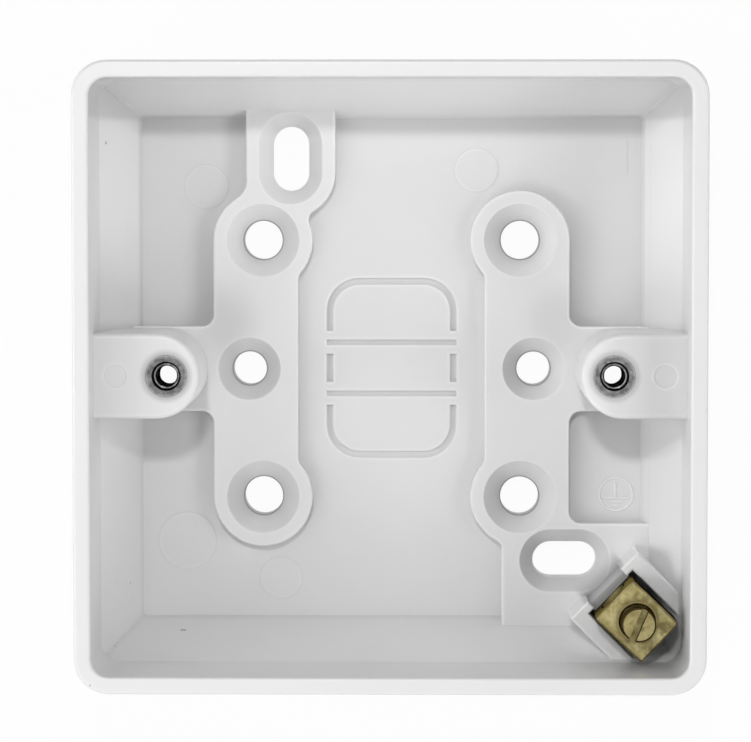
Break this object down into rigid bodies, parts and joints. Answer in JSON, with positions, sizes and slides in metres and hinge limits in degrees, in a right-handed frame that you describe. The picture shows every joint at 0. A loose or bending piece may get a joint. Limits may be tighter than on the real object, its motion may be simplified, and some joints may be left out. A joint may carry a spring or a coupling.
{
  "type": "surface pattress box",
  "caption": "Square surface wiring box, open at the front, with slanted walls, countersunk wall-fixing holes, faceplate lugs with threaded inserts and a brass earth terminal.",
  "frame": {"origin": "middle of the back face, which lies on the wall or the table", "axes": "+Z out of the open face, +Y towards the top of the box as it hangs, +X to the right as seen from the front"},
  "size_m": [0.0844, 0.0844, 0.03],
  "materials": {
    "white_moulding": "white moulded plastic, satin to semi-gloss",
    "insert_steel": "dull plated steel, darkened",
    "terminal_brass": "dull cut brass with darkened edges"
  },
  "bodies": {
    "box": {"box_moulding": "white_moulding", "left_thread_insert": "insert_steel", "right_thread_insert": "insert_steel", "earth_terminal_block": "terminal_brass"},
    "terminal_screw": {"earth_terminal_screw": "terminal_brass"}
  },
  "joints": [
    {"name": "terminal_screw_travel", "type": "slide", "parent": "box", "child": "terminal_screw", "axis": [0, 0, 1], "range_m": [-0.0028, 0.0016]}
  ]
}
